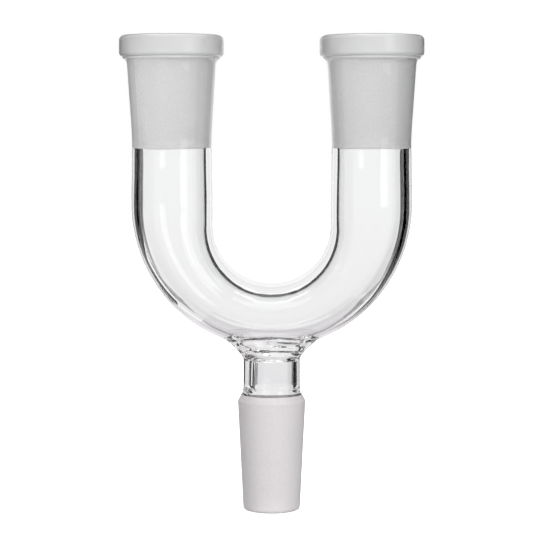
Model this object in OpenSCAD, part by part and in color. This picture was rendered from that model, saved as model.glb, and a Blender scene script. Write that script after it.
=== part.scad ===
// Two-socket glass U adapter: two upright 14/23 ground sockets on the arms of a bent
// tube, and a short neck at the bottom of the bend that ends in a 14/23 ground cone.
// Every glass section is its own solid; they meet face to face at their flame seals.
// +Z is up along the cone's axis, +X runs from the left socket to the right one, and
// the origin is the centre of the cone's lower end.

/* [Ground joints] */
// Diameter at the large end of the 1:10 ground taper
joint_d = 14.5; // [12.5:0.5:16]
// Length of the ground taper
joint_len = 23; // [18:0.5:26]

/* [Bent tube] */
// Distance between the axes of the two arms
arm_spacing = 42.4; // [40:0.2:60]
// Outside diameter of the tube in the arms
tube_od = 17.3; // [17:0.1:18.5]
// Wall of the tube in the arms
tube_wall = 1.7; // [1.4:0.1:2.1]
// Wall at the crotch, where bending gathers the glass
crotch_wall = 2.4; // [1.8:0.1:3.6]
// Wall under the bend, where bending stretches the glass
belly_wall = 1.35; // [1:0.05:2]
// How far the bend flattens: the inner arc's centre lies this far below the outer one's
flattening = 4.2; // [0:0.2:5]
// How far the bend hangs below a true half circle
sag = 0.65; // [0:0.05:1.5]
// How far the bend swells sideways at its lowest point
swelling = 0.5; // [0:0.1:1]
// Length of straight arm between the bend and the socket
arm_straight = 10.6; // [4:0.2:40]

/* [Sockets] */
// Diameter of the rim bead
bead_d = 22.1; // [21.6:0.1:24]
// Height of the rim bead
bead_h = 4.6; // [3.6:0.1:6]
// Diameter of the socket just under the bead
shoulder_d = 19; // [18.4:0.1:19.4]
// Diameter of the socket at the lower end of its ground zone
waist_d = 16.6; // [16.2:0.1:17]

/* [Neck and cone] */
// Outside diameter of the neck
neck_od = 12.1; // [11:0.1:12.4]
// Bore of the neck
neck_bore = 8.5; // [7:0.1:9]
// Length of straight neck between the cone and the bend's seal
neck_len = 6.9; // [4:0.1:20]
// Height of the flared seal between the neck and the underside of the bend
seal_h = 2.75; // [2.4:0.05:3.2]
// Wall of the cone
cone_wall = 1.75; // [1.4:0.05:2]

/* [Hidden] */
$fn = 96;
clear_glass = [0.86, 0.92, 0.94, 0.45];
ground_glass = [0.86, 0.87, 0.89, 0.9];
joint_slope = 1 / 20;         // radius lost per millimetre of a 1:10 taper
tiny = 0.05;                  // overlap that keeps a union's pieces joined
beyond = 1;                   // how far a cutting tool passes the face that it cuts

// Cone and neck, from the lower end up
cone_edge = 0.6;              // rounding of the cone's lower edge
cone_top_z = joint_len + cone_edge;
cone_top_r = joint_d / 2;
cone_low_r = cone_top_r - joint_slope * cone_top_z;
neck_r = neck_od / 2;
neck_bore_r = neck_bore / 2;
neck_z = cone_top_z + 1.4 * (cone_top_r - neck_r);
neck_top_z = neck_z + neck_len;
chamber_drop = 2.4;           // length over which the neck's bore opens into the cone

// Bent tube: two arcs, one under the other, bound each of its two skins
arm_x = arm_spacing / 2;
tube_r = tube_od / 2;
bore_r = tube_r - tube_wall;
belly_z = neck_top_z + seal_h;
heel_r = arm_x + tube_r;
crotch_r = arm_x - tube_r;
heel_z = belly_z + sag + heel_r;
crotch_z = heel_z - flattening;
bore_heel_r = arm_x + bore_r;
bore_crotch_r = arm_x - bore_r;
bore_heel_z = belly_z + belly_wall + sag + bore_heel_r;
bore_crotch_z = crotch_z - crotch_r - crotch_wall + bore_crotch_r;
fan_z = (heel_z + crotch_z) / 2;
splice_z = heel_z + arm_straight;
fan_step = 6;
ring_sides = 36;

// Sockets
splice_h = 1.4;               // height of the step between the tube and the socket
ground_z = splice_z + splice_h;
mouth_chamfer = 0.35;
rim_z = ground_z + joint_len + mouth_chamfer + 0.4;
ground_low_r = cone_top_r - joint_slope * (rim_z - mouth_chamfer - ground_z);
bead_r = bead_d / 2;
bead_z = rim_z - bead_h;
bead_round = 0.9;
shoulder_r = shoulder_d / 2;
shoulder_round = 0.6;         // concave round under the bead
waist_r = waist_d / 2;

// Seal between the neck and the bend: a 45 degree flare, oval in plan
seal_hole_r = neck_r + 0.55;  // hole in the bend that the seal fills
seal_round = 1;               // concave round between the neck and the flare
seal_reach = 4.25;            // how far the flare spreads beyond the neck
seal_oval_r = 14;             // radius of the two arcs that make the flare oval in plan
seal_half_w = tube_r - 0.5;   // half the oval's width across the bend
seal_top = 7.6;               // height of the uncut flare
funnel_lip = 0.7;             // wall left between the funnel and the hole
funnel_r = seal_hole_r - funnel_lip;
funnel_z = 0.8;               // straight bore below the funnel
seam_turn = 5;                // turns the round shapes' seams off the skins' edges
seal_span = 36;               // angle of bend that the seal lies under, each way

// Distance from the fan's pivot to a skin made of a straight side and, below height z,
// half an ellipse about (0, z) with half-width r and depth v
function reach(f, r, v, z) =
    let (drop = fan_z - z,
         side_z = fan_z - r * tan(min(f, 89)),
         a = pow(cos(f) / r, 2) + pow(sin(f) / v, 2),
         b = drop * sin(f) / (v * v),
         c = pow(drop / v, 2) - 1)
    side_z >= z ? r / cos(f) : (b + sqrt(b * b - a * c)) / a;

// One ring of the skin at fan angle f, measured from the left arm's horizontal
function fan_ring(f, heel, heel_c, crotch, crotch_c, side) =
    let (fold = min(f, 180 - f),
         far = reach(fold, heel, heel + sag, heel_c),
         near = reach(fold, crotch, crotch, crotch_c),
         half_w = side + swelling * pow(sin(f), 2))
    [for (i = [0:ring_sides - 1])
        let (a = 360 * i / ring_sides, d = (far + near) / 2 + (far - near) / 2 * cos(a))
        [-d * cos(f), half_w * sin(a), fan_z - d * sin(f)]];

// One level ring round an arm, where the heel's arc may already have begun
function arm_ring(z, way, heel, heel_c, crotch, side) =
    let (drop = max(heel_c - z, 0) / (heel + sag),
         far = heel * sqrt(1 - drop * drop))
    [for (i = [0:ring_sides - 1])
        let (a = 360 * i / ring_sides, d = (far + crotch) / 2 + (far - crotch) / 2 * cos(a))
        [way * d, side * sin(a), z]];

// All rings of one skin, from the left arm's end to the right arm's end
function skin(heel, heel_c, crotch, crotch_c, side) =
    concat(
        [for (z = [splice_z, heel_z]) arm_ring(z, -1, heel, heel_c, crotch, side)],
        [for (f = [0:fan_step:180]) fan_ring(f, heel, heel_c, crotch, crotch_c, side)],
        [for (z = [heel_z, splice_z]) arm_ring(z, 1, heel, heel_c, crotch, side)]);

outer_skin = skin(heel_r, heel_z, crotch_r, crotch_z, tube_r);
bore_skin = skin(bore_heel_r, bore_heel_z, bore_crotch_r, bore_crotch_z, bore_r);
ring_count = len(outer_skin);

function flat(rings) = [for (ring = rings) for (p = ring) p];

// Two triangles for each patch between neighbouring rings, starting at point number k0
function wall_faces(k0, count = ring_count) =
    [for (k = [0:count - 2])
        for (i = [0:ring_sides - 1])
            let (j = (i + 1) % ring_sides,
                 a = k0 + k * ring_sides + i,
                 b = k0 + k * ring_sides + j)
            for (t = [[a, b + ring_sides, b], [a, a + ring_sides, b + ring_sides]]) t];

// A solid that fills one skin round the lowest part of the bend
module filled_bottom(rings) {
    mid = (ring_count - 1) / 2;
    reach_rings = ceil(seal_span / fan_step);
    part = [for (k = [mid - reach_rings:mid + reach_rings]) rings[k]];
    last = (len(part) - 1) * ring_sides;
    ends = [for (i = [1:ring_sides - 2])
        for (t = [[0, i, i + 1], [last, last + i + 1, last + i]]) t];
    polyhedron(points = flat(part), faces = concat(wall_faces(0, len(part)), ends));
}

// The bent tube's wall as one closed skin: outside, bore, and the two ring-shaped ends
module tube_shell() {
    n = ring_count * ring_sides;
    last = (ring_count - 1) * ring_sides;
    bore = [for (t = wall_faces(n)) [t[2], t[1], t[0]]];
    ends = [for (i = [0:ring_sides - 1])
        let (j = (i + 1) % ring_sides)
        for (t = [[i, n + j, n + i], [i, j, n + j],
                  [last + i, n + last + j, last + j], [last + i, n + last + i, n + last + j]]) t];
    polyhedron(points = concat(flat(outer_skin), flat(bore_skin)),
               faces = concat(wall_faces(0), bore, ends), convexity = 8);
}

// A ring's outline with rounded outer corners, from radius r0 to r1 and height z0 to z1
module rounded_band(r0, r1, z0, z1, round_r) {
    translate([r0, z0])
        square([r1 - r0 - round_r, z1 - z0]);
    translate([r0, z0 + round_r])
        square([r1 - r0, z1 - z0 - 2 * round_r]);
    for (z = [z0 + round_r, z1 - round_r])
        translate([r1 - round_r, z])
            circle(r = round_r);
}

// The concave round that leads from the socket's wall out to the bead's underside
module bead_fillet() {
    difference() {
        translate([shoulder_r - 2 * tiny, bead_z - shoulder_round])
            square([shoulder_round + 2 * tiny, shoulder_round + tiny]);
        translate([shoulder_r + shoulder_round, bead_z - shoulder_round])
            circle(r = shoulder_round);
    }
}

module socket() {
    rotate_extrude() {
        difference() {
            union() {
                polygon([
                    [bore_r, splice_z], [tube_r, splice_z],
                    [waist_r, ground_z], [shoulder_r, bead_z],
                    [shoulder_r, rim_z - tiny], [bore_r - 1, rim_z - tiny],
                    [bore_r - 1, splice_z + tiny]
                ]);
                rounded_band(shoulder_r - 1, bead_r, bead_z, rim_z, bead_round);
                translate([bore_r - 1, bead_z])
                    square([shoulder_r - bore_r, bead_h]);
                bead_fillet();
            }
            polygon([
                [0, splice_z - beyond], [bore_r, splice_z - beyond], [bore_r, splice_z],
                [ground_low_r, ground_z], [cone_top_r, rim_z - mouth_chamfer],
                [cone_top_r + mouth_chamfer, rim_z],
                [cone_top_r + mouth_chamfer, rim_z + beyond], [0, rim_z + beyond]
            ]);
        }
    }
}

module left_socket() {
    color(ground_glass)
        translate([-arm_x, 0, 0])
            socket();
}

module right_socket() {
    color(ground_glass)
        translate([arm_x, 0, 0])
            socket();
}

module seal_hole() {
    translate([0, 0, neck_top_z])
        rotate([0, 0, seam_turn])
            cylinder(r = seal_hole_r, h = bore_crotch_z - bore_crotch_r - neck_top_z);
}

module bent_tube() {
    color(clear_glass)
        difference() {
            tube_shell();
            seal_hole();
        }
}

// Outline of the flare in section: neck's round, 45 degree flare, funnel inside
module seal_section() {
    bend = seal_round * sin(45);
    difference() {
        polygon([
            [neck_bore_r, 0], [neck_r, 0], [neck_r, bend],
            [neck_r + seal_round - bend, bend],
            [neck_r + seal_reach, seal_reach - seal_round + 2 * bend],
            [neck_r + seal_reach, seal_top], [funnel_r, seal_top],
            [funnel_r, funnel_z + funnel_r - neck_bore_r], [neck_bore_r, funnel_z]
        ]);
        translate([neck_r + seal_round, 0])
            circle(r = seal_round);
    }
}

// The flared weld: an oval collar outside and a funnel inside, cut to the bend's skins
module tee_seal() {
    color(clear_glass)
        difference() {
            intersection() {
                translate([0, 0, neck_top_z])
                    rotate([0, 0, seam_turn])
                        rotate_extrude()
                            seal_section();
                oval_side(1);
                oval_side(-1);
            }
            difference() {
                filled_bottom(outer_skin);
                seal_hole();
            }
            filled_bottom(bore_skin);
        }
}

// One of the two upright cylinders that share the seal's oval outline
module oval_side(way) {
    translate([0, way * (seal_oval_r - seal_half_w), neck_top_z - beyond])
        rotate([0, 0, seam_turn])
            cylinder(r = seal_oval_r, h = seal_top + 2 * beyond);
}

module neck() {
    color(clear_glass)
        translate([0, 0, neck_z])
            difference() {
                cylinder(r = neck_r, h = neck_len);
                translate([0, 0, -beyond])
                    cylinder(r = neck_bore_r, h = neck_len + 2 * beyond);
            }
}

module male_cone() {
    chamber_z = neck_z - chamber_drop;
    chamber_r = cone_top_r - cone_wall - joint_slope * (cone_top_z - chamber_z);
    color(ground_glass)
        rotate_extrude()
            difference() {
                union() {
                    polygon([
                        [0, cone_edge], [cone_low_r + joint_slope * cone_edge, cone_edge],
                        [cone_top_r, cone_top_z], [neck_r, neck_z], [0, neck_z]
                    ]);
                    square([cone_low_r - cone_edge, cone_edge + tiny]);
                    translate([cone_low_r - cone_edge, cone_edge])
                        circle(r = cone_edge);
                }
                polygon([
                    [-beyond, -beyond], [cone_low_r - cone_wall, -beyond],
                    [cone_low_r - cone_wall, 0], [chamber_r, chamber_z],
                    [neck_bore_r, neck_z], [neck_bore_r, neck_z + beyond],
                    [-beyond, neck_z + beyond]
                ]);
            }
}

left_socket();
right_socket();
bent_tube();
tee_seal();
neck();
male_cone();
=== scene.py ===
"""Looks of the two-socket glass U adapter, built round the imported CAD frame, in metres."""
import math

import bmesh
import bpy
import numpy as np
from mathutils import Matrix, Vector

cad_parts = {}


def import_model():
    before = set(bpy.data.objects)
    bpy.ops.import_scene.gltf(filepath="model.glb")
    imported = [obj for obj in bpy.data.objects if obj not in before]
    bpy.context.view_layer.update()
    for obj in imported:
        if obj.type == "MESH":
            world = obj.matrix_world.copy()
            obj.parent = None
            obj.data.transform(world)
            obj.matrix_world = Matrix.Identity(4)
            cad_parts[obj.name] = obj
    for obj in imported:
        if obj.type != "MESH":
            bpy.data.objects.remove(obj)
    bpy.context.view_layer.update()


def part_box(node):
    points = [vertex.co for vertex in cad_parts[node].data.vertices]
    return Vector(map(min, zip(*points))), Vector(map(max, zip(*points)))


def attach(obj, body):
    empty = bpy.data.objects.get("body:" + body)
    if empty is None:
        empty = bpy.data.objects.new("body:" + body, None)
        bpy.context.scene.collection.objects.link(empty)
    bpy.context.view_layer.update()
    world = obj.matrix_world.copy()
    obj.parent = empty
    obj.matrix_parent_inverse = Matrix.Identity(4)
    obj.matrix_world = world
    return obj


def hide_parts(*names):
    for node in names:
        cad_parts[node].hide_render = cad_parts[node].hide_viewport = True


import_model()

MM = 0.001
SIDES = 128                       # points round every tube and ground joint
SHARP_DEG = 38                    # edges that turn by more than this are shaded sharp

# Places and outer sizes, from the frame
socket_lo, socket_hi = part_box("left_socket")
tube_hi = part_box("bent_tube")[1]
neck_lo, neck_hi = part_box("neck")
cone_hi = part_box("male_cone")[1]
ARM_X = -(socket_lo.x + socket_hi.x) / 2
SPLICE_Z = socket_lo.z
RIM_Z = socket_hi.z
BEAD_R = (socket_hi.x - socket_lo.x) / 2
HEEL_R = tube_hi.x
NECK_R = neck_hi.x
NECK_Z = neck_lo.z
NECK_TOP_Z = neck_hi.z
CONE_R = cone_hi.x

# Sections of the bend, as the CAD part has them
SWELLING = 0.5 * MM               # how far the bend swells sideways at its lowest point
FLATTENING = 4.2 * MM             # drop from the outer arc's centre to the inner one's
SAG = 0.65 * MM                   # how far the bend hangs below a true half circle
ARM_STRAIGHT = 10.6 * MM
ARM_SLIM = 0.15 * MM              # how much slimmer an arm's radius is at its splice
TUBE_R = HEEL_R - ARM_X
BORE_R = TUBE_R - 1.7 * MM
CROTCH_R = ARM_X - TUBE_R
CROTCH_WALL = 2.4 * MM
BELLY_WALL = 1.35 * MM
HEEL_Z = SPLICE_Z - ARM_STRAIGHT
CROTCH_Z = HEEL_Z - FLATTENING
FAN_Z = (HEEL_Z + CROTCH_Z) / 2   # height of the pivot that the bend's rings fan out from
BELLY_Z = HEEL_Z - HEEL_R - SAG
BORE_HEEL_R = ARM_X + BORE_R
BORE_CROTCH_R = ARM_X - BORE_R
BORE_HEEL_Z = BELLY_Z + BELLY_WALL + SAG + BORE_HEEL_R
BORE_CROTCH_Z = CROTCH_Z - CROTCH_R - CROTCH_WALL + BORE_CROTCH_R

# Ground joints
TAPER = 1 / 20                    # radius lost per unit of a 1:10 taper

# Kinds of face on a piece, in the order of its materials
CLEAR, GROUND, SEAM, SATIN = 0, 1, 2, 3


class Skin:
    """One skin of the bend: a straight side over half an ellipse at its heel and its crotch."""

    def __init__(self, heel, heel_z, crotch, crotch_z, side):
        self.heel, self.heel_z = heel, heel_z
        self.crotch, self.crotch_z = crotch, crotch_z
        self.side = side

    def fan_points(self, fold, turn):
        """Points at fan angle fold, from the left arm's horizontal, and angle turn round the tube."""
        rise = np.minimum(fold, math.pi - fold)
        far = reach(rise, self.heel, self.heel + SAG, self.heel_z)
        near = reach(rise, self.crotch, self.crotch, self.crotch_z)
        half_w = self.side + SWELLING * np.sin(fold) ** 2
        out = (far + near) / 2 + (far - near) / 2 * np.cos(turn)
        return np.stack([-out * np.cos(fold), half_w * np.sin(turn), FAN_Z - out * np.sin(fold)], -1)

    def arm_points(self, way, z, turn):
        """Points at height z of an arm, the left one for way -1."""
        drop = np.maximum(self.heel_z - z, 0) / (self.heel + SAG)
        slim = ARM_SLIM * smooth_step((z - HEEL_Z) / (SPLICE_Z - HEEL_Z))
        far = self.heel * np.sqrt(1 - drop * drop) - slim
        near = self.crotch + slim
        out = (far + near) / 2 + (far - near) / 2 * np.cos(turn)
        return np.stack([way * out, (self.side - slim) * np.sin(turn), z + 0 * turn], -1)

    def fold_and_turn(self, x, y):
        """The fan and round angles of the points of the bend's underside that lie at x, y."""
        fold = np.full_like(x, math.pi / 2)
        for _ in range(30):
            turn = np.arcsin(y / (self.side + SWELLING * np.sin(fold) ** 2))
            points = self.fan_points(fold, turn)
            out = np.hypot(points[..., 0], points[..., 2] - FAN_Z)
            fold = np.arccos(-x / out)
        return fold, turn


def reach(fold, r, depth, z):
    """Distance from the fan's pivot to a straight side that turns into half an ellipse below z."""
    drop = FAN_Z - z
    a = (np.cos(fold) / r) ** 2 + (np.sin(fold) / depth) ** 2
    b = drop * np.sin(fold) / depth ** 2
    c = (drop / depth) ** 2 - 1
    curved = (b + np.sqrt(b * b - a * c)) / a
    straight = r / np.maximum(np.cos(fold), 1e-6)
    side_z = FAN_Z - straight * np.sin(fold)
    return np.where(side_z >= z, straight, curved)


def smooth_step(t):
    """From 0 to 1, level at both ends."""
    t = np.clip(t, 0, 1)
    return t * t * (3 - 2 * t)


def hermite(p0, t0, p1, t1, t):
    """The curve from p0 to p1 whose end tangents are t0 and t1."""
    return ((2 * t ** 3 - 3 * t ** 2 + 1) * p0 + (t ** 3 - 2 * t ** 2 + t) * t0
            + (3 * t ** 2 - 2 * t ** 3) * p1 + (t ** 3 - t ** 2) * t1)


outer_skin = Skin(HEEL_R, HEEL_Z, CROTCH_R, CROTCH_Z, TUBE_R)
bore_skin = Skin(BORE_HEEL_R, BORE_HEEL_Z, BORE_CROTCH_R, BORE_CROTCH_Z, BORE_R)


class Solid:
    """Points and quads of one closed piece of glass, gathered ring by ring."""

    def __init__(self):
        self.points, self.quads, self.kinds = [], [], []
        self.count = 0

    def add(self, points):
        """Adds points of any grid shape and returns their numbers in the same shape."""
        points = np.asarray(points, float)
        numbers = self.count + np.arange(points[..., 0].size).reshape(points.shape[:-1])
        self.points.append(points.reshape(-1, 3))
        self.count += numbers.size
        return numbers

    def band(self, a, b, kind):
        """Quads between two closed rings of point numbers."""
        quads = np.stack([a, np.roll(a, -1), np.roll(b, -1), b], -1)
        self.quads.append(quads)
        self.kinds.append(np.full(len(quads), kind))

    def bands(self, rings, kind):
        """Bands from each ring to the next."""
        for a, b in zip(rings[:-1], rings[1:]):
            self.band(a, b, kind)

    def build(self, name, materials, node):
        """Makes the mesh object, stands it for the CAD node and lets it ride with the body."""
        mesh = bpy.data.meshes.new(name)
        quads = np.concatenate(self.quads)
        mesh.from_pydata(np.concatenate(self.points).tolist(), [], quads.tolist())
        for material in materials:
            mesh.materials.append(material)
        mesh.polygons.foreach_set("material_index", np.concatenate(self.kinds).astype(np.int32))
        work = bmesh.new()
        work.from_mesh(mesh)
        bmesh.ops.delete(work, geom=[v for v in work.verts if not v.link_faces], context="VERTS")
        bmesh.ops.recalc_face_normals(work, faces=work.faces)
        work.to_mesh(mesh)
        work.free()
        mesh.shade_smooth()
        mesh.set_sharp_from_angle(angle=math.radians(SHARP_DEG))
        piece = bpy.data.objects.new(name, mesh)
        bpy.context.scene.collection.objects.link(piece)
        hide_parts(node)
        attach(piece, "root")


def circle_angles():
    return 2 * math.pi * np.arange(SIDES) / SIDES


def ring_points(x, radius, z, angles):
    """A ring round the vertical line at x; radius and z may vary round the ring."""
    return np.stack([x + radius * np.cos(angles), radius * np.sin(angles), z + 0 * angles], -1)


def wave(angles, seed, terms=4):
    """A smooth random wave round a ring, about -1 to 1, that repeats exactly for one seed."""
    draw = np.random.default_rng(seed)
    total = 0 * angles
    for turns in range(1, terms + 1):
        total = total + draw.uniform(0.4, 1) / turns * np.sin(turns * angles + draw.uniform(0, 6.28))
    return total / 1.5


def arc(centre_r, centre_z, radius, start_deg, end_deg, steps):
    """Points (r, z) along an arc of a section."""
    turn = np.radians(np.linspace(start_deg, end_deg, steps))
    return [(centre_r + radius * math.cos(t), centre_z + radius * math.sin(t)) for t in turn]


def line(start, end, steps):
    """Points (r, z) along a straight stretch, without its first point."""
    return [tuple(np.array(start) + (np.array(end) - np.array(start)) * k / steps)
            for k in range(1, steps + 1)]


RIPPLE_Z = 3.1 * MM               # how fast a hand-worked wall's ripple changes with height
WALL_RIPPLE, NECK_RIPPLE, BORE_RIPPLE = 0.02 * MM, 0.015 * MM, 0.06 * MM


def turned(solid, x, section, kind, ripple=0.0, seed=0, start=None):
    """Adds the rings of a section turned about the line at x, going on from the ring start."""
    angles = circle_angles()
    rings = [] if start is None else [start]
    for r, z in section:
        swing = ripple * (wave(angles, seed) * math.sin(z / RIPPLE_Z) + wave(angles, seed + 1))
        rings.append(solid.add(ring_points(x, r + swing, z, angles)))
    solid.bands(rings, kind)
    return rings


# ---------------------------------------------------------------- materials

GLASS_IOR = 1.47
CLEAR_TONE = (0.947, 0.949, 0.950)
SOCKET_TONE = (0.985, 0.985, 0.985)
CONE_TONE = (0.755, 0.728, 0.744)
RIM_TONE = (0.72, 0.722, 0.725)


def new_material(name):
    material = bpy.data.materials.new(name)
    material.use_nodes = True
    return material, material.node_tree.nodes, material.node_tree.links


def object_noise(nodes, links, stretch, scale, detail):
    """Noise in the object's own metres, stretched along each axis by stretch."""
    place = nodes.new("ShaderNodeTexCoord")
    mapping = nodes.new("ShaderNodeMapping")
    mapping.inputs["Scale"].default_value = stretch
    noise = nodes.new("ShaderNodeTexNoise")
    noise.inputs["Scale"].default_value = scale
    noise.inputs["Detail"].default_value = detail
    links.new(place.outputs["Object"], mapping.inputs["Vector"])
    links.new(mapping.outputs["Vector"], noise.inputs["Vector"])
    return noise


def ranged(nodes, links, source, low, high):
    """A Map Range node that takes noise from about 0.3 to 0.7 to the range low to high."""
    node = nodes.new("ShaderNodeMapRange")
    node.inputs["From Min"].default_value = 0.3
    node.inputs["From Max"].default_value = 0.7
    node.inputs["To Min"].default_value = low
    node.inputs["To Max"].default_value = high
    links.new(source, node.inputs["Value"])
    return node.outputs["Result"]


def bumped(nodes, links, height, distance, strength=1.0):
    """A normal tilted by the given height, which is distance metres where it is 1."""
    bump = nodes.new("ShaderNodeBump")
    bump.inputs["Distance"].default_value = distance
    bump.inputs["Strength"].default_value = strength
    links.new(height, bump.inputs["Height"])
    return bump.outputs["Normal"]


def clear_glass():
    """Fire-polished borosilicate glass: faint drawing waves, barely uneven gloss."""
    material, nodes, links = new_material("clear_glass")
    shader = nodes["Principled BSDF"]
    shader.inputs["Base Color"].default_value = (*CLEAR_TONE, 1)
    shader.inputs["Transmission Weight"].default_value = 1
    shader.inputs["IOR"].default_value = GLASS_IOR
    gloss = object_noise(nodes, links, stretch=(1, 1, 0.4), scale=260, detail=2)
    links.new(ranged(nodes, links, gloss.outputs["Fac"], 0.0, 0.025), shader.inputs["Roughness"])
    waves = object_noise(nodes, links, stretch=(1, 1, 0.25), scale=420, detail=1)
    links.new(bumped(nodes, links, waves.outputs["Fac"], 0.02 * MM, 0.6), shader.inputs["Normal"])
    return material


def ground_glass(name, tone, milkiness):
    """Glass ground with fine grit: milky, with a fine grain and slightly cloudy gloss."""
    material, nodes, links = new_material(name)
    shader = nodes["Principled BSDF"]
    shader.inputs["Transmission Weight"].default_value = 1 - milkiness
    shader.inputs["IOR"].default_value = GLASS_IOR
    cloud = object_noise(nodes, links, stretch=(1, 1, 0.6), scale=300, detail=3)
    tint = nodes.new("ShaderNodeMix")
    tint.data_type = "RGBA"
    tint.inputs["A"].default_value = (*[0.92 * c for c in tone], 1)
    tint.inputs["B"].default_value = (*[1.01 * c for c in tone], 1)
    grain = object_noise(nodes, links, stretch=(1, 1, 2.5), scale=2200, detail=2)
    links.new(ranged(nodes, links, grain.outputs["Fac"], 0, 1), tint.inputs["Factor"])
    links.new(tint.outputs["Result"], shader.inputs["Base Color"])
    links.new(ranged(nodes, links, cloud.outputs["Fac"], 0.66, 0.8), shader.inputs["Roughness"])
    links.new(bumped(nodes, links, grain.outputs["Fac"], 0.09 * MM), shader.inputs["Normal"])
    return material


def satin_glass():
    """The rim's bead: fire polished over a milky inside, so its gloss is soft."""
    material, nodes, links = new_material("satin_rim")
    shader = nodes["Principled BSDF"]
    shader.inputs["Base Color"].default_value = (*RIM_TONE, 1)
    shader.inputs["Transmission Weight"].default_value = 0.6
    shader.inputs["IOR"].default_value = GLASS_IOR
    shader.inputs["Coat Weight"].default_value = 0.6
    shader.inputs["Coat Roughness"].default_value = 0.08
    cloud = object_noise(nodes, links, stretch=(1, 1, 1.5), scale=240, detail=2)
    links.new(ranged(nodes, links, cloud.outputs["Fac"], 0.3, 0.45), shader.inputs["Roughness"])
    return material


def seam_glass():
    """The place inside the glass where two sections are fused: nothing shows."""
    material, nodes, _ = new_material("fused_seam")
    nodes["Principled BSDF"].inputs["Alpha"].default_value = 0
    return material


GLASS = [clear_glass(), ground_glass("ground_socket", SOCKET_TONE, milkiness=0.78), seam_glass(),
         satin_glass()]
CONE_GLASS = [GLASS[CLEAR], ground_glass("ground_cone", CONE_TONE, milkiness=0.7), GLASS[SEAM]]


# ---------------------------------------------------------------- sockets

ARM_BORE_R = BORE_R - ARM_SLIM
GROUND_Z = SPLICE_Z + 1.4 * MM    # where the ground zone ends, inside
WAIST_R = 8.3 * MM
WAIST_H = 4.2 * MM                # height of the curve from the waist into the socket's wall
WAIST_DIP = 0.35 * MM             # how strongly the wall narrows just above the splice
BEAD_H = 4.6 * MM
BEAD_CROWN = 0.02 * MM            # how far the bead's side bulges
BEAD_FILLET = 1.3 * MM            # concave round under the bead
BEAD_LOW_ROUND, BEAD_TOP_ROUND = 0.9 * MM, 1.15 * MM
WALL_TOP_R = 9.4 * MM
WALL_TOP_Z = RIM_Z - BEAD_H - BEAD_FILLET - 0.3 * MM
MOUTH_R = CONE_R + 0.65 * MM      # inner edge of the flat rim
MOUTH_ROUND = 0.3 * MM
TAPER_TOP_Z = RIM_Z - 0.6 * MM
FLARE_H = 1.6 * MM                # height over which the ground taper's end opens to the bore
EDGE_WAVER = 0.16 * MM            # how uneven the ground zone's end is


def socket_wall():
    """Section of the outside, from the splice up to the bead's underside."""
    slope = (WALL_TOP_R - WAIST_R) / (WALL_TOP_Z - GROUND_Z)
    curve_top = (WAIST_R + slope * WAIST_H, GROUND_Z + WAIST_H)
    rise = curve_top[1] - SPLICE_Z
    section = []
    for t in np.linspace(0, 1, 20):
        radius = hermite(TUBE_R - ARM_SLIM, -WAIST_DIP, curve_top[0], slope * rise, t)
        section.append((radius, SPLICE_Z + rise * t))
    section += line(curve_top, (WALL_TOP_R, WALL_TOP_Z), 24)
    section += arc(WALL_TOP_R + BEAD_FILLET, WALL_TOP_Z, BEAD_FILLET, 176, 110, 8)
    return section


def socket_rim():
    """Section of the bead and the mouth, from the bead's underside in to the top of the taper."""
    low = RIM_Z - BEAD_H + BEAD_LOW_ROUND
    high = RIM_Z - BEAD_TOP_ROUND
    section = arc(BEAD_R - BEAD_LOW_ROUND, low, BEAD_LOW_ROUND, -80, -8, 8)
    for t in np.linspace(0, 1, 7):
        section.append((BEAD_R + BEAD_CROWN * math.sin(math.pi * t), low + (high - low) * t))
    section += arc(BEAD_R - BEAD_TOP_ROUND, high, BEAD_TOP_ROUND, 8, 90, 10)
    section += line((BEAD_R - BEAD_TOP_ROUND, RIM_Z), (MOUTH_R, RIM_Z), 3)
    section += arc(MOUTH_R, RIM_Z - MOUTH_ROUND, MOUTH_ROUND, 90, 150, 4)
    return section + [(CONE_R, TAPER_TOP_Z)]


def socket_taper(solid, x, start, edge_z):
    """The ground taper from the ring start down to edge_z, where it has opened to the bore."""
    rings = [start]
    for t in np.linspace(0, 1, 61)[1:]:
        z = TAPER_TOP_Z + (edge_z - TAPER_TOP_Z) * t
        taper_r = CONE_R - TAPER * (TAPER_TOP_Z - z)
        opened = smooth_step(1 - (z - edge_z) / FLARE_H)
        radius = taper_r + (ARM_BORE_R - taper_r) * opened
        rings.append(solid.add(ring_points(x, radius, z, circle_angles())))
    solid.bands(rings, GROUND)
    return rings


def socket_bore(solid, x, start, edge_z):
    """The clear bore from the ring start, at edge_z, down to the splice."""
    rings = [start]
    for t in np.linspace(0, 1, 5)[1:]:
        z = edge_z + (SPLICE_Z - edge_z) * t
        rings.append(solid.add(ring_points(x, ARM_BORE_R, z, circle_angles())))
    solid.bands(rings, CLEAR)
    return rings


def socket(name, x, seed):
    """A ground socket: clear outside, satin rim bead, ground taper inside."""
    solid = Solid()
    wall = turned(solid, x, socket_wall(), CLEAR, WALL_RIPPLE, seed)
    rim = turned(solid, x, socket_rim(), SATIN, WALL_RIPPLE, seed, wall[-1])
    edge_z = GROUND_Z - 0.1 * MM + EDGE_WAVER * wave(circle_angles(), seed + 5, 9)
    taper = socket_taper(solid, x, rim[-1], edge_z)
    bore = socket_bore(solid, x, taper[-1], edge_z)
    solid.band(bore[-1], wall[0], SEAM)
    solid.build(name + "_glass", GLASS, name)


# ---------------------------------------------------------------- bend and seal

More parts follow.
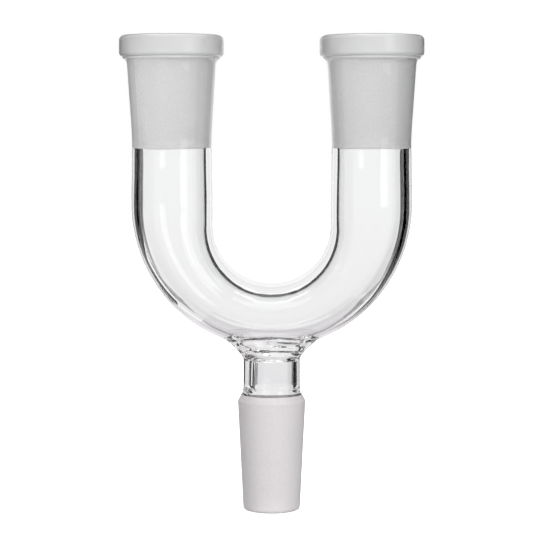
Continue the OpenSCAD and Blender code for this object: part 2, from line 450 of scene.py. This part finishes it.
ARM_RINGS = 14
FAN_RINGS = 145                   # an odd count, so that one ring is at the bottom
HOLE_FOLD = 26                    # rings on each side of the bottom that the opening may cut
HOLE_TURN = 24                    # points on each side of the belly line that it may cut
HOLE_LOOPS = 12
FLARE = (10.1 * MM, 7.5 * MM)     # half-lengths of the flare's outline on the bend, along X and Y
FUNNEL = (7.3 * MM, 4.9 * MM)     # the same of the funnel's mouth in the bore
NECK_BORE_R = 4.25 * MM
BORE_SHIFT = 0.30 * MM            # how far the bore is off the axis, as hand work leaves it
FUNNEL_RIPPLE = 0.8 * MM
FUNNEL_SEED = 11
FUNNEL_LIP = 0.6 * MM             # how far the weld stands into the funnel just above the neck
LIP_AT, LIP_SPREAD = 0.13, 0.07   # where that lip is on the funnel's height, and how wide


def skin_grid(skin):
    """All rings of a skin from the left splice to the right one."""
    turn = circle_angles()
    heights = np.linspace(SPLICE_Z, FAN_Z, ARM_RINGS)[:-1]
    left = [skin.arm_points(-1, z, turn) for z in heights]
    folds = np.linspace(0, math.pi, FAN_RINGS)
    fan = [skin.fan_points(np.full(SIDES, f), turn) for f in folds]
    right = [skin.arm_points(1, z, turn) for z in heights[::-1]]
    return np.array(left + fan + right)


def opening_loops(skin, solid, grid, half):
    """Loops of points from the bend's grid in to the edge of the oval opening under it.

    half holds the opening's half-lengths along X and Y. The other results are each point's
    direction round the opening, and the first and last ring of the grid that the loops cut.
    """
    middle = len(grid) // 2
    i0, i1 = middle - HOLE_FOLD, middle + HOLE_FOLD
    j0, j1 = -HOLE_TURN, HOLE_TURN
    rim = [(i, j0) for i in range(i0, i1)] + [(i1, j) for j in range(j0, j1)]
    rim += [(i, j1) for i in range(i1, i0, -1)] + [(i0, j) for j in range(j1, j0, -1)]
    rows, columns = np.array(rim).T
    fold = math.pi / 2 + (rows - middle) * math.pi / (FAN_RINGS - 1)
    turn = columns * 2 * math.pi / SIDES
    way = np.arctan2(columns / HOLE_TURN, (rows - middle) / HOLE_FOLD)
    hole_fold, hole_turn = skin.fold_and_turn(half[0] * np.cos(way), half[1] * np.sin(way))
    loops = [grid[rows, columns % SIDES]]
    for t in np.linspace(0, 1, HOLE_LOOPS + 1)[1:]:
        points = skin.fan_points(fold + (hole_fold - fold) * t, turn + (hole_turn - turn) * t)
        loops.append(solid.add(points))
    return loops, way, (i0, i1)


def skin_faces(solid, skin, half):
    """Adds one skin of the bend and returns its grid and the edge of its opening."""
    grid = solid.add(skin_grid(skin))
    loops, _, (i0, i1) = opening_loops(skin, solid, grid, half)
    for i in range(len(grid) - 1):
        a, b = grid[i], grid[i + 1]
        quads = np.stack([a, np.roll(a, -1), np.roll(b, -1), b], -1)
        if i0 <= i < i1:
            quads = quads[HOLE_TURN:SIDES - HOLE_TURN]
        solid.quads.append(quads)
        solid.kinds.append(np.full(len(quads), CLEAR))
    solid.bands(loops, CLEAR)
    return grid, loops[-1]


def bend():
    """The bent tube, open below for the seal."""
    solid = Solid()
    outer, flare_edge = skin_faces(solid, outer_skin, FLARE)
    bore, funnel_edge = skin_faces(solid, bore_skin, FUNNEL)
    solid.band(flare_edge, funnel_edge, SEAM)
    for end in (0, -1):
        solid.band(outer[end], bore[end], SEAM)
    solid.build("bent_tube_glass", GLASS, "bent_tube")


def opening_ways():
    """The directions, round the neck, of the points on the opening's edge."""
    probe = Solid()
    grid = probe.add(skin_grid(outer_skin))
    return opening_loops(outer_skin, probe, grid, FLARE)[1]


def seal_curve(skin, half, low, way, pull, lean):
    """The curve from the points low up to the opening's edge on a skin, as a function of 0 to 1.

    pull is the curve's stiffness at each end; lean is its slope in degrees at the edge, along the
    bend and across it. The second result is the direction outwards at each point.
    """
    fold, turn = skin.fold_and_turn(half[0] * np.cos(way), half[1] * np.sin(way))
    top = skin.fan_points(fold, turn)
    outward = top - [0, 0, 1] * top
    outward /= np.linalg.norm(outward, axis=-1, keepdims=True)
    tilt = np.radians(lean[0] + (lean[1] - lean[0]) * np.sin(way) ** 2)[:, None]
    start = np.array([0, 0, 1]) * pull[0]
    finish = (outward * np.cos(tilt) + np.array([0, 0, 1]) * np.sin(tilt)) * pull[1]
    return lambda t: hermite(low, start, top, finish, t), outward


def funnel_swing(way, t):
    """How far hand work moves the funnel's wall at direction way and height t."""
    ripple = FUNNEL_RIPPLE * math.sin(math.pi * t) * wave(way, FUNNEL_SEED + int(6 * t), 7)
    lip = FUNNEL_LIP * math.exp(-((t - LIP_AT) / LIP_SPREAD) ** 2)
    return ripple - lip * (1 + 0.4 * wave(way, FUNNEL_SEED + 9, 3))


def seal_rings(solid, curve, outward, swing):
    """Rings from the neck's end up to the opening's edge, moved outwards by swing."""
    rings = [solid.add(curve(t) + outward * swing(t)) for t in np.linspace(0, 1, 17)]
    solid.bands(rings, CLEAR)
    return rings


def seal():
    """The flared weld between the neck and the bend, with a rippled funnel inside."""
    way = opening_ways()
    solid = Solid()
    low = ring_points(0, NECK_R, NECK_TOP_Z, way)
    curve, outward = seal_curve(outer_skin, FLARE, low, way, pull=(3.4 * MM, 5.5 * MM), lean=(38, 60))
    flare = seal_rings(solid, curve, outward, lambda t: 0)
    low = ring_points(BORE_SHIFT, NECK_BORE_R, NECK_TOP_Z, way)
    curve, outward = seal_curve(bore_skin, FUNNEL, low, way, pull=(4 * MM, 5 * MM), lean=(40, 50))
    funnel = seal_rings(solid, curve, outward, lambda t: funnel_swing(way, t)[:, None])
    solid.band(flare[0], funnel[0], SEAM)
    solid.band(flare[-1], funnel[-1], SEAM)
    solid.build("tee_seal_glass", GLASS, "tee_seal")


# ---------------------------------------------------------------- neck and cone

CONE_TOP_Z = 23.6 * MM            # where the 1:10 taper is at its large end
CONE_WALL = 1.75 * MM
GROUND_LOW_Z = 0.75 * MM          # lowest and highest ring of the taper between its rounds
GROUND_TOP_Z = 23.45 * MM
CORNER_ROUND = 0.35 * MM          # round between the taper and the shoulder
EDGE_ROUND = 0.6 * MM             # round of the cone's lower edge, outside and inside
CHAMBER_Z = 24.4 * MM             # where the neck's bore has opened into the cone's
CHAMBER_TOP_Z = 26.8 * MM
NECK_FOOT, NECK_FOOT_H = 0.25 * MM, 0.6 * MM
SHOULDER_GROUND = 6               # how many of the shoulder's 8 steps are ground


def bore_radius(z):
    """Radius of the bore at height z, from the cone's end to the top of the neck."""
    cone_bore = CONE_R - CONE_WALL - TAPER * (CONE_TOP_Z - z)
    mix = float(smooth_step((z - CHAMBER_Z) / (CHAMBER_TOP_Z - CHAMBER_Z)))
    return cone_bore + (NECK_BORE_R - cone_bore) * mix


def bore(solid, heights):
    """The bore's rings at these heights."""
    return turned(solid, BORE_SHIFT, [(bore_radius(z), z) for z in heights], CLEAR, BORE_RIPPLE, 7)


def neck():
    """The clear neck, a little wider where it is fused to the cone."""
    solid = Solid()
    heights = np.linspace(NECK_Z, NECK_TOP_Z, 25)
    outside = [(NECK_R + NECK_FOOT * math.exp(-(z - NECK_Z) / NECK_FOOT_H), z) for z in heights]
    wall = turned(solid, 0, outside, CLEAR, NECK_RIPPLE, 3)
    inside = bore(solid, heights[::-1])
    solid.band(wall[-1], inside[0], SEAM)
    solid.band(inside[-1], wall[0], SEAM)
    solid.build("neck_glass", GLASS, "neck")


def cone():
    """The ground cone: ground outside, end and most of its shoulder; clear bore."""
    solid = Solid()
    low_r = CONE_R - TAPER * CONE_TOP_Z
    tip = arc(low_r - EDGE_ROUND, EDGE_ROUND, EDGE_ROUND, 270, 350, 10)
    taper = [(low_r + TAPER * z, z) for z in np.linspace(GROUND_LOW_Z, GROUND_TOP_Z, 60)]
    corner = arc(CONE_R - CORNER_ROUND, CONE_TOP_Z - 0.2 * MM, CORNER_ROUND, 0, 45, 4)
    shoulder = line(corner[-1], (NECK_R + NECK_FOOT, NECK_Z), 8)
    ground = turned(solid, 0, tip + taper + corner + shoulder[:SHOULDER_GROUND], GROUND)
    top = turned(solid, 0, shoulder[SHOULDER_GROUND:], CLEAR, start=ground[-1])
    inside = bore(solid, np.linspace(NECK_Z, EDGE_ROUND, 50))
    mouth_r = bore_radius(EDGE_ROUND) + EDGE_ROUND
    mouth = turned(solid, 0, arc(mouth_r, EDGE_ROUND, EDGE_ROUND, 185, 262, 6), CLEAR)
    solid.band(inside[-1], mouth[0], CLEAR)
    solid.band(mouth[-1], ground[0], CLEAR)
    solid.band(top[-1], inside[0], SEAM)
    solid.build("male_cone_glass", CONE_GLASS, "male_cone")


socket("left_socket", -ARM_X, 31)
socket("right_socket", ARM_X, 47)
bend()
seal()
neck()
cone()


# ---------------------------------------------------------------- stage

BLACK, WHITE = (0, 0, 0), (1, 1, 1)
UNDER_TONE = (0.34, 0.32, 0.34)   # the card under the object
WARM_TONE = (0.74, 0.71, 0.735)   # the foot of the panel behind the object

FLOOR_TONE = (0.94, 0.94, 0.94)
FLOOR_HALF = 3.0
FLOOR_GLOW = 0.6
GLASS_FILL = 1.3                  # how strongly the room lights ground glass behind clear glass
ROOM_FILL = 0.5                   # how strongly the white room lights what isn't clear

EYE_R = 0.291                     # how far, along X and Y, a three-quarter view's eye stands off
PANEL_X, PANEL_Y = 0.063, 0.088   # the edge of the open white space behind the object
PANEL_TOP, TOP_CARD_TOP = 0.127, 0.35
CARD_FAR_X = 0.30
CARD_TOP = 0.26
NECK_NEAR_X, NECK_FAR_X = 0.040, 0.10
NECK_CARD_TOP = 0.0215
LEFT_LOW, RIGHT_LOW = 0.020, -0.020
NECK_LOW = {-1: 0.007, 1: -0.020}     # lower edges of the two cards that the neck shows
BACK_CARD_LENGTH = 0.40
BACK_CARD_LOW, END_CARD_LOW = (-0.002, -0.27), (-0.05, -0.09)
LEFT_OF_ARM = (-0.0297, -0.0091)  # a point that a three-quarter view sees just left of the left arm
END_CARD_GAP, END_CARD_LENGTH, END_CARD_TOP = 0.033, 0.16, 0.022
CORNER_X, CORNER_Z = 0.035, 0.085 # where the corner cards' slanted edge meets the top and the side
CORNER_SIDE_Z = 0.1
PANEL_LOW_Z, PANEL_LOW_TOP = -0.09, 0.07
FADE_Z = -0.03                    # height at which the low panel is fully warm
RIGHT_CARD_X, RIGHT_CARD_LOW = 0.19, -0.1
UNDER_Z = -0.015

LENS_MM, SENSOR_MM = 128.7, 36
CAMERA_PLACE = (-0.0011, -0.405, 0.0824)
CAMERA_AIM = (-0.0011, 0, 0.0522)


def plane(name, corners, material):
    """A flat four-cornered piece of the stage."""
    mesh = bpy.data.meshes.new(name)
    mesh.from_pydata(corners, [], [(0, 1, 2, 3)])
    mesh.materials.append(material)
    sheet = bpy.data.objects.new(name, mesh)
    bpy.context.scene.collection.objects.link(sheet)
    return sheet


def rectangle(low, high, z):
    """Corners of a level rectangle between the points low and high."""
    return [(low[0], low[1], z), (high[0], low[1], z), (high[0], high[1], z), (low[0], high[1], z)]


def floor():
    """A plain white floor that the camera sees but the glass doesn't, so only the cards shade it."""
    material, nodes, _ = new_material("pale_floor")
    shader = nodes["Principled BSDF"]
    shader.inputs["Base Color"].default_value = (*FLOOR_TONE, 1)
    shader.inputs["Roughness"].default_value = 1
    shader.inputs["Specular IOR Level"].default_value = 0
    shader.inputs["Emission Color"].default_value = (*WHITE, 1)
    shader.inputs["Emission Strength"].default_value = FLOOR_GLOW
    corners = rectangle((-FLOOR_HALF, -FLOOR_HALF), (FLOOR_HALF, FLOOR_HALF), 0)
    ground = plane("floor", corners, material)
    ground.visible_diffuse = False
    ground.visible_transmission = False
    ground.visible_glossy = False


def card(name, corners, glow=BLACK):
    """A studio card of an even tone, seen only in and through the glass. Returns its material."""
    material, nodes, links = new_material(name)
    nodes.remove(nodes["Principled BSDF"])
    shader = nodes.new("ShaderNodeEmission")
    shader.inputs["Color"].default_value = (*glow, 1)
    links.new(shader.outputs["Emission"], nodes["Material Output"].inputs["Surface"])
    material.cycles.emission_sampling = "NONE"
    screen = plane(name, corners, material)
    screen.visible_camera = False
    screen.visible_diffuse = False
    screen.visible_shadow = False
    return material


def upright(name, start, end, low, high, glow=BLACK):
    """An upright card over two points of the floor; low has its lower edge's height at each."""
    corners = [(*start, low[0]), (*end, low[1]), (*end, high), (*start, high)]
    return card(name, corners, glow)


def from_eye(start, length):
    """The point length beyond start for a three-quarter view's eye, which sees such a card edge on."""
    eye = Vector((EYE_R, -EYE_R))
    return tuple(Vector(start) + (Vector(start) - eye).normalized() * length)


def back_cards():
    """The black cards behind the object, round the white space that shows straight through it."""
    upright("card_right_side", (PANEL_X, PANEL_Y), (CARD_FAR_X, PANEL_Y), (RIGHT_LOW, RIGHT_LOW), CARD_TOP)
    upright("card_left_side", (-PANEL_X, PANEL_Y), (-CARD_FAR_X, PANEL_Y), (LEFT_LOW, LEFT_LOW), CARD_TOP)
    for way, low in NECK_LOW.items():
        near, far = (way * NECK_NEAR_X, PANEL_Y), (way * NECK_FAR_X, PANEL_Y)
        upright("card_neck", near, far, (low, low), NECK_CARD_TOP)
    near = (-PANEL_X, PANEL_Y)
    upright("card_left_low", near, from_eye(near, BACK_CARD_LENGTH), BACK_CARD_LOW, LEFT_LOW)
    start = from_eye(LEFT_OF_ARM, END_CARD_GAP)
    upright("card_left_end", start, from_eye(start, END_CARD_LENGTH), END_CARD_LOW, END_CARD_TOP)
    upright("card_top", (-PANEL_X, PANEL_Y), (PANEL_X, PANEL_Y), (PANEL_TOP, PANEL_TOP), TOP_CARD_TOP)
    for way in (-1, 1):
        edge = way * PANEL_X
        card("card_corner", [(edge, PANEL_Y, CORNER_Z), (way * CORNER_X, PANEL_Y, PANEL_TOP),
                             (edge, PANEL_Y, PANEL_TOP), (edge, PANEL_Y, CORNER_SIDE_Z)])


def cards():
    """The cards that draw the glass's edges, placed to stay out of a straight look through it."""
    back_cards()
    low_panel()
    ends = (RIGHT_CARD_X, -0.07), (RIGHT_CARD_X, 0.06)
    upright("card_right", *ends, (RIGHT_CARD_LOW, RIGHT_CARD_LOW), CARD_TOP)
    card("card_under", rectangle((-0.05, -0.08), (0.08, 0.045), UNDER_Z), UNDER_TONE)


def low_panel():
    """The lower part of the space behind the object: white above, shading to a warm grey."""
    ends = (-PANEL_X, PANEL_Y), (PANEL_X, PANEL_Y)
    material = upright("panel_low", *ends, (PANEL_LOW_Z, PANEL_LOW_Z), PANEL_LOW_TOP, WHITE)
    nodes, links = material.node_tree.nodes, material.node_tree.links
    place = nodes.new("ShaderNodeTexCoord")
    split = nodes.new("ShaderNodeSeparateXYZ")
    fade = nodes.new("ShaderNodeMapRange")
    fade.interpolation_type = "SMOOTHSTEP"
    fade.inputs["From Min"].default_value = FADE_Z
    fade.inputs["From Max"].default_value = PANEL_LOW_TOP
    tone = nodes.new("ShaderNodeMix")
    tone.data_type = "RGBA"
    tone.inputs["A"].default_value = (*WARM_TONE, 1)
    tone.inputs["B"].default_value = (*WHITE, 1)
    links.new(place.outputs["Object"], split.inputs["Vector"])
    links.new(split.outputs["Z"], fade.inputs["Value"])
    links.new(fade.outputs["Result"], tone.inputs["Factor"])
    links.new(tone.outputs["Result"], nodes["Emission"].inputs["Color"])


def soft_box(name, place, aim, size, radiance, mirrored):
    """A rectangular light of the given radiance, turned to face the point aim."""
    light = bpy.data.lights.new(name, "AREA")
    light.shape = "RECTANGLE"
    light.size, light.size_y = size
    light.energy = radiance * math.pi * size[0] * size[1]
    lamp = bpy.data.objects.new(name, light)
    lamp.location = place
    lamp.rotation_euler = (Vector(aim) - Vector(place)).to_track_quat("-Z", "Y").to_euler()
    lamp.visible_glossy = mirrored
    lamp.visible_transmission = mirrored
    bpy.context.scene.collection.objects.link(lamp)


def math_node(nodes, links, operation, first, second):
    """A Math node's result; second may be a number or another node's output."""
    node = nodes.new("ShaderNodeMath")
    node.operation = operation
    links.new(first, node.inputs[0])
    if isinstance(second, float):
        node.inputs[1].default_value = second
    else:
        links.new(second, node.inputs[1])
    return node.outputs["Value"]


def world():
    """A white room: full strength when looked at, ROOM_FILL on a surface, and GLASS_FILL for light
    that a surface takes in through clear glass."""
    scene = bpy.context.scene
    scene.world = bpy.data.worlds.new("white_room")
    scene.world.use_nodes = True
    nodes, links = scene.world.node_tree.nodes, scene.world.node_tree.links
    sky = nodes["Background"]
    sky.inputs["Color"].default_value = (*WHITE, 1)
    path = nodes.new("ShaderNodeLightPath")
    inside = math_node(nodes, links, "MINIMUM", path.outputs["Diffuse Depth"], 1.0)
    inside = math_node(nodes, links, "MULTIPLY", inside, GLASS_FILL - 1)
    outside = math_node(nodes, links, "MULTIPLY", path.outputs["Is Diffuse Ray"], GLASS_FILL - ROOM_FILL)
    both = math_node(nodes, links, "SUBTRACT", inside, outside)
    links.new(math_node(nodes, links, "ADD", both, 1.0), sky.inputs["Strength"])


def camera():
    """A long lens at the height of the arms, tipped down a little."""
    data = bpy.data.cameras.new("camera")
    data.sensor_width = SENSOR_MM
    data.lens = LENS_MM
    cam = bpy.data.objects.new("camera", data)
    cam.location = CAMERA_PLACE
    cam.rotation_euler = (Vector(CAMERA_AIM) - cam.location).to_track_quat("-Z", "Y").to_euler()
    bpy.context.scene.collection.objects.link(cam)
    bpy.context.scene.camera = cam


def display_and_bounces():
    """Plain display colours, and enough bounces for light to cross every skin of the glass."""
    scene = bpy.context.scene
    scene.view_settings.view_transform = "Standard"
    scene.cycles.transparent_max_bounces = 32
    scene.cycles.max_bounces = 24
    scene.cycles.transmission_bounces = 24
    scene.cycles.glossy_bounces = 12


world()
floor()
cards()
camera()
soft_box("window", place=(0.361, -0.479, 0.27), aim=(0, 0, 0.27), size=(0.23, 0.46), radiance=1.7,
         mirrored=True)
soft_box("front", place=(0.1, -1.0, 0.35), aim=(0, 0, 0.05), size=(0.7, 0.5), radiance=8.6,
         mirrored=False)
soft_box("back", place=(-0.5, 0.9, 0.35), aim=(0, 0, 0.05), size=(0.6, 0.5), radiance=8.0,
         mirrored=False)
soft_box("overhead", place=(0, 0.1, 0.9), aim=(0, 0, 0), size=(1.0, 1.0), radiance=1.5, mirrored=True)
display_and_bounces()
